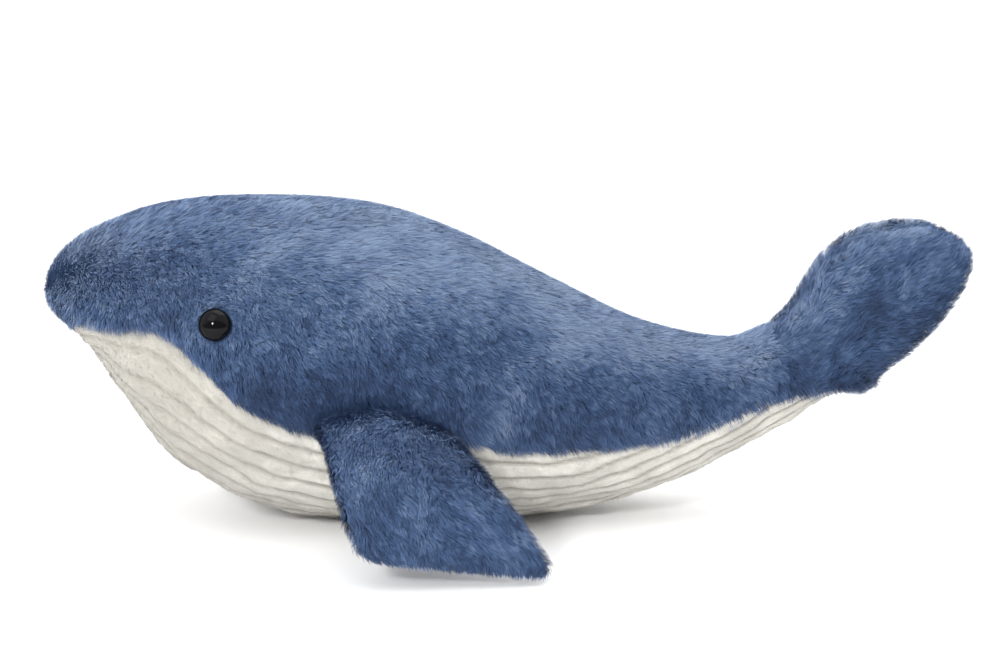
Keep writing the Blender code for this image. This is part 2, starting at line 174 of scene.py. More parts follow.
# Distances from the head's tip over which looks fade, then places on the body:
# where the outer ribs run out at the seams, the lip, and the cheek's shade
LIP_REACH = (0.010, 0.024)
SNOUT_REACH = (0.010, 0.050)
TIP_REACH = (0.012, 0.045)
CHIN_REACH = (0.040, 0.130)
BROW_REACH = (0.045, 0.150)
TAIL_TAPER = (0.010, 0.150)
LIP_HEIGHTS = (0.088, 0.104)
CHEEK_BACK, CHEEK_SPREAD = 0.024, 0.040
CHEEK_HEIGHTS = (0.060, 0.095)

# The belly's ribs and creases, and the painted shade under its chin
CHIN_SHADE = 0.82
RIBS_LOST = 0.45
GROOVE_SHARPNESS = 6
SEAM_TUCK = (0.0016, 0.035)
BELLY_SINK = 0.0005
TABLE_CLEARANCE = 0.0002

# Studio: the floor, the room's light, and lights by place, size and power
FLOOR_HALF = 9.0
FLOOR_CORNERS = ((-1, -1), (1, -1), (1, 1), (-1, 1))
BACKDROP_LEAN = 0.8
BACKDROP_STOPS = ((0.10, (0.16, 0.17, 0.19)), (0.42, (0.985, 0.99, 1.0)))
BACKDROP_STRENGTH = 1.35
LIGHT_AIM = (0.0, 0.0, 0.05)
LIGHTS = (("key", (-0.55, -0.75, 1.25), 0.9, 3.5), ("top", (0.25, 0.35, 1.5), 1.2, 9.0))
GLINT_SIZE, GLINT_POWER = 0.22, 12.0

# Smooth noise in layers, each of a height, a feature size and a seed
WAVE_COUNT = 9
WAVE_SPREAD = (0.6, 1.5)
RIB_WAVES = ((0.13, 0.055, 31), (0.06, 0.018, 32))
BELLY_CREASES = ((0.0007, 0.030, 33), (0.0004, 0.011, 34), (0.00016, 0.0035, 35))
LAY_WAVES = ((0.26, 0.030, 41), (0.20, 0.010, 42))
TONE_CLOUDS = ((0.09, 0.024, 51), (0.06, 0.007, 52))
STUFFING_LUMPS = ((0.0006, 0.016, 61),)
LIP_WAVES = ((0.012, 0.012, 71),)
SIDE_CLOUDS = ((0.09, 0.060, 72),)
FLIPPER_CLOUDS = ((0.09, 0.040, 73),)

# Strands: ranges of length, height and width as shares of what is set, how far
# each turns from the lay, and how locks and upright places change them
STRAND_LENGTHS = (0.60, 1.15)
STRAND_HEIGHTS = (0.60, 1.20)
STRAND_WIDTHS = (0.7, 1.3)
LOCK_LENGTHS = (0.8, 1.15)
STRAND_UNREST, LOCK_UNREST, STRAND_ROLL = 0.20, 0.25, 0.55
STAND_SHORTENS, STAND_LIFTS = 0.42, 0.15
ROOT_SINK = 0.0003
BEND_ALONG, BEND_UP, BEND_WIDTH = 0.34, 0.74, 0.85
PULLS = (0.25, 0.75)
BEND_PULL = 0.12
LAY_SHADING = 0.15
LEVEL_SHARES = (0.0, 0.4, 1.0)
LOCK_CONTRAST, STRAND_CONTRAST = 0.34, 0.50
LEAST_TIP_Z, LEAST_STRAND_Z = 0.0004, 0.0003
UV_MARGIN, UV_HALF_WIDTH = 0.02, 0.006

# The belly's nap: where it starts above the table, how far it turns, its range of lengths, how it
# rises and leans, its tone and how far painted shade in the grooves and under the chin darkens it, and
# how deep it is rooted
NAP_LEAST_Z = 0.0009
NAP_UNREST = 0.5
NAP_LENGTHS = (0.5, 1.2)
NAP_RISE, NAP_LEAN = 0.55, 0.8
NAP_TONE, NAP_GROOVE, NAP_CONTRAST = 0.80, 0.70, 0.25
NAP_SINK = 0.0001

# Grids of the skins and of the scatter, rings of the stuffing, the meshes that
# a side's pile is split into, and the seeds
SIDE_GRID = (120, 48)
FLIPPER_GRID = (40, 40)
BELLY_ROWS, RIB_STEPS = 220, 9
SCATTER_GRID = (150, 80)
BODY_RINGS, BODY_TURNS = (0.14, 0.86, 60), 64
FLIPPER_RINGS, FLIPPER_TURNS = (0.10, 0.90, 24), 40
SIDE_PILE_PARTS = 6
SIDE_SEED, NAP_SEED, FLIPPER_SEEDS = 5, 11, 21


def smooth_rows(table, positions):
    """Read a table of rows at shares of its length on a smooth curve."""
    rows = np.array(table, float).reshape(len(table), -1)
    last = len(rows) - 1
    place = np.clip(positions, 0.0, 1.0) * last
    index = np.minimum(place.astype(int), last - 1)
    t = (place - index)[:, None]
    before, start = rows[np.maximum(index - 1, 0)], rows[index]
    end, after = rows[index + 1], rows[np.minimum(index + 2, last)]
    return (
        (2 * t**3 - 3 * t**2 + 1) * start
        + (t**3 - 2 * t**2 + t) * (end - before) / 2
        + (3 * t**2 - 2 * t**3) * end
        + (t**3 - t**2) * (after - start) / 2
    )


def unit(vectors):
    """Return vectors at length 1."""
    return vectors / np.maximum(np.linalg.norm(vectors, axis=-1, keepdims=True), 1e-12)


def dots(a, b):
    """Return the dot products of two rows of vectors, as a column."""
    return (a * b).sum(axis=-1, keepdims=True)


def ramp(values, low, high):
    """Rise smoothly from 0 at low to 1 at high."""
    t = np.clip((values - low) / (high - low), 0.0, 1.0)
    return t * t * (3 - 2 * t)


def ahead(points, reach):
    """Return 1 at the head's tip, falling to 0 over a reach of distances from it."""
    return 1.0 - ramp(points[:, 0] - HEAD_X, *reach)


def ripples(points, layers):
    """Return smooth noise in layers, each from about minus to plus its height."""
    total = np.zeros(len(points))
    for height, size, seed in layers:
        rng = np.random.default_rng(seed)
        waves = unit(rng.normal(size=(WAVE_COUNT, 3))) * rng.uniform(*WAVE_SPREAD, (WAVE_COUNT, 1))
        phases = rng.uniform(0.0, 2 * math.pi, WAVE_COUNT)
        swing = np.sin(points @ waves.T * (2 * math.pi / size) + phases)
        total += height * swing.sum(axis=1) / math.sqrt(WAVE_COUNT)
    return total


class Form:
    """A closed form read by two shares u and v, with outward normals."""

    # Step of the shares for normals, and where u starts
    step = 0.002
    u_start = 0.0

    def frames(self, u, v):
        """Return points, outward normals and the directions of u and v."""
        du = self.points(u + self.step, v) - self.points(u - self.step, v)
        dv = self.points(u, v + self.step) - self.points(u, v - self.step)
        points = self.points(u, v)
        normals = unit(np.cross(du, dv))
        flip = np.where(dots(normals, points - self.core(u, v)) < 0.0, -1.0, 1.0)
        return points, normals * flip, unit(du), unit(dv)


class WhaleBody(Form):
    """The body's outer surface: u is the station, v the ring angle in turns."""

    shift = 0.0

    def sections(self, u):
        """Return centres, up vectors and half widths at stations."""
        row = smooth_rows(SECTIONS, u)
        flat = np.zeros(len(row))
        back = np.stack((row[:, 0] * BODY_LENGTH, flat, row[:, 1] * BODY_HEIGHT), axis=1)
        low = row[:, 3] * BODY_HEIGHT - BELLY_FLAT_DEPTH
        belly = np.stack((row[:, 2] * BODY_LENGTH, flat, low), axis=1)
        offset = np.array((self.shift, 0.0, 0.0))
        return (back + belly) / 2 + offset, (back - belly) / 2, row[:, 4] * BODY_WIDTH / 2

    def points(self, u, v):
        """Return points of the outer surface."""
        centre, up, half = self.sections(u)
        angle = v * 2 * math.pi
        across = np.sign(np.sin(angle)) * np.abs(np.sin(angle)) ** ROUNDNESS
        height = np.sign(np.cos(angle)) * np.abs(np.cos(angle)) ** ROUNDNESS
        points = centre - up * height[:, None]
        points[:, 1] -= across * half
        return points

    def core(self, u, v):
        """Return the points that the normals look away from."""
        return self.sections((1.0 + CORE_SHARE * (2 * u - 1.0)) / 2)[0]

    def inner(self, u, v, depth):
        """Return points below the surface and their normals."""
        points, normals = self.frames(u, v)[:2]
        up, half = self.sections(u)[1:]
        room = (1.0 - LEAST_INNER_SHARE) * np.minimum(np.linalg.norm(up, axis=1), half)
        share = np.minimum(room / FULL_ROOM, 1.0)[:, None]
        return points - normals * depth * share, normals


BODY = WhaleBody()
STATIONS = np.linspace(0.0, 1.0, 200)
HEAD_X = min(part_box(name)[0].x for name in ("left_side_panel", "right_side_panel"))
BODY.shift = HEAD_X - min(BODY.points(STATIONS, STATIONS * 0 + 0.5)[:, 0])


def seam_turn(u):
    """Return the belly seam's place round the body at stations, in turns."""
    return smooth_rows(SEAM_ANGLES, u)[:, 0] / 360.0


class SideSkin(Form):
    """A side panel below its pile: u from mouth to tail, v from belly to back."""

    def __init__(self, side, depth):
        self.side = side
        self.depth = depth

    def turn(self, u, v):
        """Return the place round the body, in turns."""
        seam = seam_turn(u)
        return -self.side * (seam + (0.5 - seam) * v)

    def station(self, u):
        """Return the body station of a share of the panel's length."""
        place = np.clip(u, 0.0, 1.0)
        return END_STATION + (1.0 - 2 * END_STATION) * (1.0 - np.cos(math.pi * place)) / 2

    def points(self, u, v):
        """Return points of the skin."""
        station = self.station(u)
        return BODY.inner(station, self.turn(station, v), self.depth)[0]

    def core(self, u, v):
        """Return the points that the normals look away from."""
        return BODY.core(self.station(u), v)


class BellySkin(SideSkin):
    """The belly panel with its ribs: v from the left seam to the right."""

    def __init__(self, depth, ribs, rib_depth):
        super().__init__(0, depth)
        self.ribs = ribs
        self.rib_depth = rib_depth

    def turn(self, u, v):
        """Return the place round the body, in turns."""
        return seam_turn(u) * (1.0 - 2 * v)

    def shade(self, points, v):
        """Return how far the velour is greyed by painted shade: in the grooves and under the chin."""
        # Painted shade under the chin, fading back from the head
        chin = CHIN_SHADE * ahead(points, CHIN_REACH)
        return chin + (1.0 - chin) * self.groove(points, v)

    def groove(self, points, v):
        """Return how deep in a groove places are, from 0 to 1."""
        rear = ramp(points[:, 0], *TAIL_TAPER)
        place = (v - 0.5) * self.ribs * (1.0 - RIBS_LOST * rear) + 0.5
        place = place + ripples(points, RIB_WAVES)
        return (0.5 + 0.5 * np.cos(2 * math.pi * place)) ** GROOVE_SHARPNESS

    def points(self, u, v):
        """Return points of the ribbed skin, flat where the whale rests."""
        station = self.station(u)
        points, normals = BODY.inner(station, self.turn(station, v), self.depth)
        tuck = SEAM_TUCK[0] * (1.0 - ramp(np.minimum(v, 1.0 - v), 0.0, SEAM_TUCK[1]))
        depth = self.rib_depth * self.groove(points, v) + tuck + BELLY_SINK
        points = points - normals * (depth - ripples(points, BELLY_CREASES))[:, None]
        points[:, 2] = np.maximum(points[:, 2], TABLE_CLEARANCE)
        return points


class Flipper(Form):
    """A fin or lobe below its pile: u from root to tip, v round the section in turns."""

    u_start = -0.20

    def __init__(self, root, axes, sizes, angles, outline, depth, skirt):
        self.root = root
        self.along, self.out, self.up = axes
        self.length, self.chord, self.thickness, self.edge, self.sweep, self.standoff = sizes
        self.start, self.end = angles
        self.outline = np.array(outline)
        self.bulge = 0.0
        self.depth = depth
        self.skirt = skirt

    def middle(self, span, across, height):
        """Return points a height above the middle surface."""
        lead = np.interp(span, self.outline[:, 0], self.outline[:, 1])
        trail = np.interp(span, self.outline[:, 0], self.outline[:, 2])
        place = (lead + (trail - lead) * across) * self.chord + self.sweep * span
        turn = self.end - self.start
        angle = self.start + turn * span
        reach = self.length / turn * (np.sin(angle) - math.sin(self.start))
        rise = self.length / turn * (math.cos(self.start) - np.cos(angle))
        reach = reach + self.standoff * math.cos(self.start)
        reach = reach + self.bulge * 4 * across * (1 - across) * (1 - span)
        rise = rise + self.standoff * math.sin(self.start)
        reach = reach - height * np.sin(angle)
        rise = rise + height * np.cos(angle)
        flat = self.root + place[:, None] * self.along
        return flat + reach[:, None] * self.out + rise[:, None] * self.up

    def half(self, span, across):
        """Return the half thickness at places."""
        chord_power, span_power, lean = SWELL_POWERS
        chordwise = np.maximum(4 * across * (1 - across), 0.0) ** chord_power
        inside = np.clip(span, 0.0, 1.0)
        spanwise = np.maximum(np.sin(math.pi * inside**lean), 0.0) ** span_power
        return (self.edge + (self.thickness - self.edge) * chordwise * spanwise) / 2

    def settle(self, height):
        """Swing the fin about its root until its lowest point is at a height."""
        shares = np.linspace(0.0, 1.0, SETTLE_GRID)
        span, across = (grid.ravel() for grid in np.meshgrid(shares, shares))
        for _ in range(SETTLE_STEPS):
            half = self.half(span, across)
            above = self.middle(span, across, half)
            below = self.middle(span, across, -half)
            points = np.concatenate((above, below))
            lowest = points[points[:, 2].argmin()]
            turn = (height - lowest[2]) / ((lowest - self.root) @ self.out)
            self.start += turn
            self.end += turn

    def section(self, u, v):
        """Return span, chord share and height share of places on the skin."""
        angle = v * 2 * math.pi
        across = (1.0 - np.cos(angle)) / 2
        inset = self.depth / self.chord
        across = inset + (1.0 - 2 * inset) * across
        round_edge = np.tanh(EDGE_SQUARENESS * np.sin(angle)) / math.tanh(EDGE_SQUARENESS)
        span = np.clip(u, 0.0, PAST_TIP) * (1.0 - TIP_INSET * self.depth / self.length)
        below = np.clip(u / self.u_start, 0.0, PAST_SKIRT)
        amid = np.sin(math.pi * across**SKIRT_LEAN)
        span = span - below * (self.skirt[0] + self.skirt[1] * amid)
        tip = np.sqrt(np.clip(1.0 - ramp(u, TIP_START, 1.0) ** 2, 0.0, 1.0))
        return span, across, round_edge * (TIP_GAP + (1.0 - TIP_GAP) * tip)

    def points(self, u, v):
        """Return points of the skin, with its underside spread round the body at the root."""
        span, across, share = self.section(u, v)
        thin = 1.0 - self.depth / (self.thickness / 2)
        spread = self.skirt[2] * (1.0 - ramp(u, self.u_start, SPREAD_END))
        spread = spread * ramp(-share, 0.0, SPREAD_FACE)
        spread = spread * np.sin(math.pi * np.clip(across, 0.0, 1.0)) ** SPREAD_POWER
        swell = self.skirt[3] * np.sin(math.pi * across) * (1.0 - ramp(u, *SWELL_REACH))
        swell = swell * ramp(share, 0.0, SWELL_FACE)
        height = self.half(span, across) * share * thin - spread + swell
        return self.middle(span, across, height)

    def core(self, u, v):
        """Return the points that the normals look away from."""
        span, across, _ = self.section(u, v)
        return self.middle(span * CORE_SPAN, 0.5 + (across - 0.5) * CORE_CHORD, np.zeros(len(span)))


def body_spot(station, turn):
    """Return one point and normal of the body's outer surface."""
    points, normals = BODY.frames(np.array((station,)), np.array((turn,)))[:2]
    return points[0], normals[0]


def fin_form(side, depth):
    """Return the form of a side fin, settled on the table."""
    fore, aft = FIN_STATIONS
    seam = -side * seam_turn(np.array((fore, aft, (fore + aft) / 2)))
    front = body_spot(fore, seam[0])[0]
    rear = body_spot(aft, seam[1])[0]
    along = unit(rear - front)
    out = unit(np.cross(along, (0.0, 0.0, 1.0)))
    out = out if out[1] * side > 0.0 else -out
    up = np.cross(along, out)
    up = up if up[2] > 0.0 else -up
    root = (front + rear) / 2
    made = Flipper(root, (along, out, up), FIN_SIZES, FIN_ANGLES, FIN_OUTLINE, depth, FIN_SKIRT)
    made.bulge = (body_spot((fore + aft) / 2, seam[2])[0] - root) @ out
    made.settle(FIN_TABLE_GAP)
    return made


def lobe_form(side, depth):
    """Return the form of a raised tail lobe."""
    front = body_spot(LOBE_STATIONS[0], 0.5)[0]
    rear = body_spot(LOBE_STATIONS[1], 0.5)[0]
    along = unit(rear - front)
    out = np.array((0.0, side, 0.0))
    up = np.cross(along, out)
    up = up if up[2] > 0.0 else -up
    root = (front + rear) / 2 + out * LOBE_ROOT_SPREAD + up * LOBE_ROOT_RISE
    return Flipper(root, (along, out, up), LOBE_SIZES, LOBE_ANGLES, LOBE_OUTLINE, depth, LOBE_SKIRT)


def new_piece(name, mesh, body, finish):
    """Make a visible piece that rides on a CAD body."""
    mesh.materials.append(finish)
    piece = bpy.data.objects.new(name, mesh)
    bpy.context.scene.collection.objects.link(piece)
    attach(piece, body)
    return piece


def new_soft_piece(name, mesh, body, slot, finish, node, fill):
    """Make a piece that takes a CAD node's place."""
    piece = new_piece(name, mesh, body, finish)
    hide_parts(node)


def grid_mesh(name, rows, closed=False):
    """Make a smooth mesh of a grid of points, closed round each row if asked."""
    count, columns = rows.shape[:2]
    index = np.arange(count * columns).reshape(count, columns)
    if closed:
        index = np.concatenate((index, index[:, :1]), axis=1)
    quads = np.stack((index[:-1, :-1], index[:-1, 1:], index[1:, 1:], index[1:, :-1]), axis=-1)
    mesh = bpy.data.meshes.new(name)
    mesh.from_pydata(rows.reshape(-1, 3).tolist(), [], quads.reshape(-1, 4).tolist())
    mesh.shade_smooth()
    return mesh


def form_grid(form, rows, columns, v_range=(0.0, 1.0)):
    """Read a form at a grid of shares; returns points, u and v."""
    u, v = np.meshgrid(np.linspace(0.0, 1.0, rows), np.linspace(*v_range, columns), indexing="ij")
    points = form.points(u.ravel(), v.ravel())
    return points.reshape(rows, columns, 3), u.ravel(), v.ravel()


def scattered(form, density, v_range, rng):
    """Return evenly scattered shares of a form, so many to the square metre."""
    rows, columns = SCATTER_GRID
    places = np.linspace(form.u_start, 1.0, rows + 1)
    u, v = np.meshgrid(places, np.linspace(*v_range, columns + 1), indexing="ij")
    points = form.points(u.ravel(), v.ravel()).reshape(rows + 1, columns + 1, 3)
    along = points[1:, :-1] - points[:-1, :-1]
    across = points[:-1, 1:] - points[:-1, :-1]
    areas = np.linalg.norm(np.cross(along, across), axis=-1).ravel()
    count = int(areas.sum() * density)
    places = np.searchsorted(np.cumsum(areas) / areas.sum(), rng.random(count))
    places = np.minimum(places, areas.size - 1)
    u = form.u_start + (1.0 - form.u_start) * (places // columns + rng.random(count)) / rows
    v = v_range[0] + (v_range[1] - v_range[0]) * (places % columns + rng.random(count)) / columns
    return u, v


def strand_mesh(name, levels, sideways, shade, shares, facing):
    """Make pile of flat tapering strands from their points at each level.

    The strands are shaded as facing mostly the way that the cloth does, since
    each stands for a few finer round ones.
    """
    count = len(shade)
    layers = []
    for level, width in zip(levels[:-1], sideways):
        layers += [level - width, level + width]
    vertices = np.stack([*layers, levels[-1]], axis=1)
    per = vertices.shape[1]
    faces = [(2 * i, 2 * i + 1, 2 * i + 3, 2 * i + 2) for i in range(len(levels) - 2)]
    faces.append((per - 3, per - 2, per - 1))
    corners = np.array([corner for face in faces for corner in face])
    starts = np.cumsum([0] + [len(face) for face in faces])
    mesh = bpy.data.meshes.new(name)
    mesh.vertices.add(count * per)
    mesh.vertices.foreach_set("co", vertices.astype(np.float32).ravel())
    mesh.loops.add(count * len(corners))
    loops = np.arange(count)[:, None] * per + corners
    mesh.loops.foreach_set("vertex_index", loops.astype(np.int32).ravel())
    mesh.polygons.add(count * len(faces))
    loop_starts = np.arange(count)[:, None] * len(corners) + starts[:-1]
    mesh.polygons.foreach_set("loop_start", loop_starts.astype(np.int32).ravel())
    edge_shift = np.array([-1.0, 1.0] * (len(levels) - 1) + [0.0]) * UV_HALF_WIDTH
    heights = np.repeat(shares[:-1], 2).tolist() + [shares[-1]]
    uv = np.empty((count, len(corners), 2), np.float32)
    place = UV_MARGIN + (1.0 - 2 * UV_MARGIN) * np.clip(shade, 0.0, 1.0)
    uv[:, :, 0] = place[:, None] + edge_shift[corners]
    uv[:, :, 1] = np.array(heights)[corners]
    mesh.update(calc_edges=True)
    layer = mesh.uv_layers.new(name=BAKE_UV)
    layer.data.foreach_set("uv", uv.ravel())
    mesh.shade_smooth()
    mesh.normals_split_custom_set_from_vertices(np.repeat(unit(facing), per, axis=0))
    return mesh


def nearest(points, centres):
    """Return the index of the nearest centre to each point."""
    tree = KDTree(len(centres))
    for index, centre in enumerate(centres):
        tree.insert(centre, index)
    tree.balance()
    return np.array([tree.find(point)[1] for point in points])


def lay_pile(form, places, plan, pile, rng):
    """Lay locks of strands along a flow over a form; returns levels, widths and looks."""
    u, v = places
    roots, normals = form.frames(u, v)[:2]
    lock_u, lock_v = scattered(form, 1.0 / pile.lock_size**2, (v.min(), v.max()), rng)
    lock_roots, lock_normals = form.frames(lock_u, lock_v)[:2]

    def along(points, surface, share_u, share_v, unrest):
        direction = plan.flow(points, share_u, share_v)
        turn = (unrest * rng.normal(size=len(points)) + ripples(points, LAY_WAVES))[:, None]
        direction = unit(direction - surface * dots(direction, surface))
        return unit(direction * np.cos(turn) + np.cross(surface, direction) * np.sin(turn))

    def sizes(points, share_u, share_v):
        size = plan.stretch(points, share_u, share_v)[:, None]
        stand = plan.stand(points, share_u, share_v)[:, None]
        return size, stand, pile.length * size * (1.0 - STAND_SHORTENS * stand)

    heading = along(roots, normals, u, v, STRAND_UNREST)
    lock_heading = along(lock_roots, lock_normals, lock_u, lock_v, LOCK_UNREST)
    lock = nearest(roots, lock_roots)
    lock_shade = rng.random(len(lock_roots))[lock]
    size, stand, length = sizes(roots, u, v)
    length = length * rng.uniform(*STRAND_LENGTHS, (len(u), 1))
    height = pile.loft * size * (1.0 + STAND_LIFTS * stand)
    height = height * rng.uniform(*STRAND_HEIGHTS, (len(u), 1))
    lock_size, _, lock_length = sizes(lock_roots, lock_u, lock_v)
    lock_length = lock_length * rng.uniform(*LOCK_LENGTHS, (len(lock_roots), 1))
    root = roots - normals * ROOT_SINK
    bend = root + heading * length * BEND_ALONG + normals * height * BEND_UP
    tip = root + heading * length + normals * height
    lock_tip = lock_roots + lock_heading * lock_length + lock_normals * pile.loft * lock_size
    pull = rng.uniform(*PULLS, len(u))[:, None] * pile.gather
    tip = tip + (lock_tip[lock] - tip) * pull
    bend = bend + (lock_tip[lock] - bend) * pull * BEND_PULL
    flat = unit(np.cross(heading, normals))
    roll = rng.normal(0.0, STRAND_ROLL, len(u))[:, None]
    wide = flat * np.cos(roll) + np.cross(heading, flat) * np.sin(roll)
    width = pile.strand_width / 2 * rng.uniform(*STRAND_WIDTHS, len(u))[:, None]
    face = np.cross(wide, heading)
    face = face * np.where(dots(face, normals) < 0.0, -1.0, 1.0)
    facing = normals * (1.0 - pile.relief) + face * pile.relief + heading * LAY_SHADING
    sideways = (wide * width, wide * width * BEND_WIDTH)
    return (root, bend, tip), sideways, (normals, lock_shade, facing)


def grow_pile(name, form, v_range, plan, parts, pile, seed):
    """Grow pile on a form by a plan, and make it as so many meshes along u."""
    rng = np.random.default_rng(seed)
    u, v = scattered(form, pile.density * 1e6, v_range, rng)
    order = np.argsort(u, kind="stable")
    u, v = u[order], v[order]
    levels, sideways, looks = lay_pile(form, (u, v), plan, pile, rng)
    normals, lock_shade, facing = looks
    roots = levels[0]
    kept = plan.keep(roots, u, v, rng) & (levels[2][:, 2] > LEAST_TIP_Z)
    tone = plan.shade(roots, normals, u, v)
    tone = tone + LOCK_CONTRAST * (lock_shade - 0.5)
    tone = tone + STRAND_CONTRAST * (rng.random(len(u)) - 0.5) + ripples(roots, TONE_CLOUDS)
    meshes = []
    floor = (-math.inf, -math.inf, LEAST_STRAND_Z)
    for part, chosen in enumerate(np.array_split(np.flatnonzero(kept), parts)):
        label = name if parts == 1 else f"{name}_{part + 1}"
        part_levels = [np.maximum(level[chosen], floor) for level in levels]
        part_sides = [width[chosen] for width in sideways]
        looks = (tone[chosen], LEVEL_SHARES, facing[chosen])
        meshes.append(strand_mesh(label, part_levels, part_sides, *looks))
    return meshes


class Finish:
    """A Principled material under construction."""

    def __init__(self, name):
        self.material = bpy.data.materials.new(name)
        self.material.use_nodes = True
        self.tree = self.material.node_tree
        self.shader = self.tree.nodes["Principled BSDF"]

    def node(self, kind, **settings):
        """Add a node with its settings."""
        made = self.tree.nodes.new("ShaderNode" + kind)
        for key, value in settings.items():
            setattr(made, key, value)
        return made

    def link(self, output, target):
        """Join an output to an input."""
        self.tree.links.new(output, target)

    def values(self, **values):
        """Set values on the shader itself, by its inputs' names."""
        for key, value in values.items():
            label = key.replace("_", " ")
            self.shader.inputs[label.title() if label.islower() else label].default_value = value

    def colours(self, source, stops):
        """Turn a value into a colour by stops of place and colour."""
        made = self.node("ValToRGB")
        while len(made.color_ramp.elements) < len(stops):
            made.color_ramp.elements.new(1.0)
        for element, (place, colour) in zip(made.color_ramp.elements, stops):
            element.position = place
            element.color = (*colour[:3], 1.0)
        self.link(source, made.inputs["Fac"])
        return made.outputs["Color"]

    def noise(self, scale, detail=3.0, roughness=0.55):
        """Return the value of noise with features of about 1 / scale metres."""
        place = self.node("TexCoord").outputs["Object"]
        made = self.node("TexNoise")
        made.inputs["Scale"].default_value = scale
        made.inputs["Detail"].default_value = detail
        made.inputs["Roughness"].default_value = roughness
        self.link(place, made.inputs["Vector"])
        return made.outputs["Fac"]

    def mix(self, kind, share, first, second):
        """Mix two colours; share is a number or an output."""
        made = self.node("Mix", data_type="RGBA", blend_type=kind)
        fac, a, b = made.inputs[0], made.inputs[6], made.inputs[7]
        for target, value in ((fac, share), (a, first), (b, second)):
            if isinstance(value, bpy.types.NodeSocket):
                self.link(value, target)
            else:
                target.default_value = value
        return made.outputs[2]

    def bump(self, height, distance, strength=0.6):
        """Raise the surface by a value."""
        made = self.node("Bump")
        made.inputs["Strength"].default_value = strength
        made.inputs["Distance"].default_value = distance
        self.link(height, made.inputs["Height"])
        self.link(made.outputs["Normal"], self.shader.inputs["Normal"])


def shared(make):
    """Let a finish be made once and used by every piece that asks for it."""

    @functools.wraps(make)
    def finish(name, *looks):
        return bpy.data.materials.get(name) or make(name, *looks)

    return finish


def strand_finish(name, tones, strand_shade_stops, **values):
    """Strands coloured by their tone, with painted shade that darkens them from tip to root."""
    made = Finish(name)
    uv = made.node("UVMap", uv_map=BAKE_UV)
    split = made.node("SeparateXYZ")
    made.link(uv.outputs["UV"], split.inputs["Vector"])
    tone = made.colours(split.outputs["X"], tones)
    # Painted shade: each strand darkens towards its root
    depth = made.colours(split.outputs["Y"], strand_shade_stops)
    made.link(made.mix("MULTIPLY", 1.0, tone, depth), made.shader.inputs["Base Color"])
    made.values(**values)
    return made


@shared
def pile_finish(name, looks):
    """Blue pile, with painted shade dark at its roots."""
    tones = ((0.05, looks.dark), (0.5, looks.middle), (0.95, looks.light))
    strand_shade_stops = ((0.0, (0.40, 0.43, 0.50)), (0.45, (0.80, 0.82, 0.87)), (0.9, (1, 1, 1)))
    made = strand_finish(name, tones, strand_shade_stops, roughness=0.62, sheen_weight=0.12)
    made.values(sheen_roughness=0.42, sheen_tint=(0.72, 0.82, 1.0, 1.0), Specular_IOR_Level=0.30)
    return made.material


@shared
def backing_finish(name, colour):
    """Knitted backing cloth under the pile."""
    made = Finish(name)
    dark = tuple(value * 0.6 for value in colour[:3])
    shade = made.colours(made.noise(420.0), ((0.3, dark), (0.7, colour)))
    made.link(shade, made.shader.inputs["Base Color"])
    made.values(roughness=0.95, sheen_weight=0.15)
    made.bump(made.noise(1500.0, 2.0), 0.0004)
    return made.material


@shared
def velour_finish(name, looks):
    """Short velour, greyed by painted shade in its grooves and under the chin."""
    made = Finish(name)
    groove = made.node("Attribute", attribute_name="groove").outputs["Fac"]
    patch = made.colours(made.noise(55.0, 4.0), ((0.35, looks.shaded), (0.65, looks.white)))
    fine = made.colours(made.noise(1700.0, 2.0), ((0.3, (0.90, 0.90, 0.90)), (0.7, (1, 1, 1))))
    nap = made.mix("MULTIPLY", 0.8, patch, fine)
    # Painted shade: the groove attribute greys the velour in the grooves and under the chin
    ribbed = made.mix("MIX", groove, nap, (*looks.groove, 1.0))
    made.link(ribbed, made.shader.inputs["Base Color"])
    rough = made.colours(made.noise(300.0), ((0.3, (0.86,) * 3), (0.7, (0.96,) * 3)))
    made.link(rough, made.shader.inputs["Roughness"])
    made.values(sheen_weight=0.25, sheen_roughness=0.5)
    made.bump(made.noise(1100.0, 4.0, 0.7), 0.0006, 0.7)
    return made.material


@shared
def nap_finish(name, looks):
    """Short strands of the velour, with painted shade at their roots."""
    tones = ((0.05, looks.groove), (0.45, looks.shaded), (0.9, looks.white))
    strand_shade_stops = ((0.0, (0.75,) * 3), (0.8, (1, 1, 1)))
    made = strand_finish(name, tones, strand_shade_stops, roughness=0.85, sheen_weight=0.25)
    made.values(sheen_roughness=0.5)
    return made.material


def plastic_finish(name, colour, low, high, specular=0.5):
    """Moulded plastic whose gloss varies a little from low to high roughness."""
    made = Finish(name)
    tint = tuple(value * 1.35 for value in colour[:3])
    shade = made.colours(made.noise(260.0), ((0.3, colour), (0.8, tint)))
    made.link(shade, made.shader.inputs["Base Color"])
    gloss = made.colours(made.noise(140.0), ((0.3, (low,) * 3), (0.7, (high,) * 3)))
    made.link(gloss, made.shader.inputs["Roughness"])
    made.values(Specular_IOR_Level=specular)
    made.bump(made.noise(900.0, 1.0), 0.00002, 0.15)
    return made.material


@shared
def fibre_finish(name):
    """Loose white fibre."""
    made = Finish(name)
    shade = made.colours(made.noise(600.0), ((0.3, (0.70, 0.70, 0.69)), (0.7, (0.90, 0.90, 0.89))))
    made.link(shade, made.shader.inputs["Base Color"])
    made.values(roughness=1.0, sheen_weight=0.4)
    made.bump(made.noise(700.0, 5.0, 0.7), 0.0015, 0.9)
    return made.material


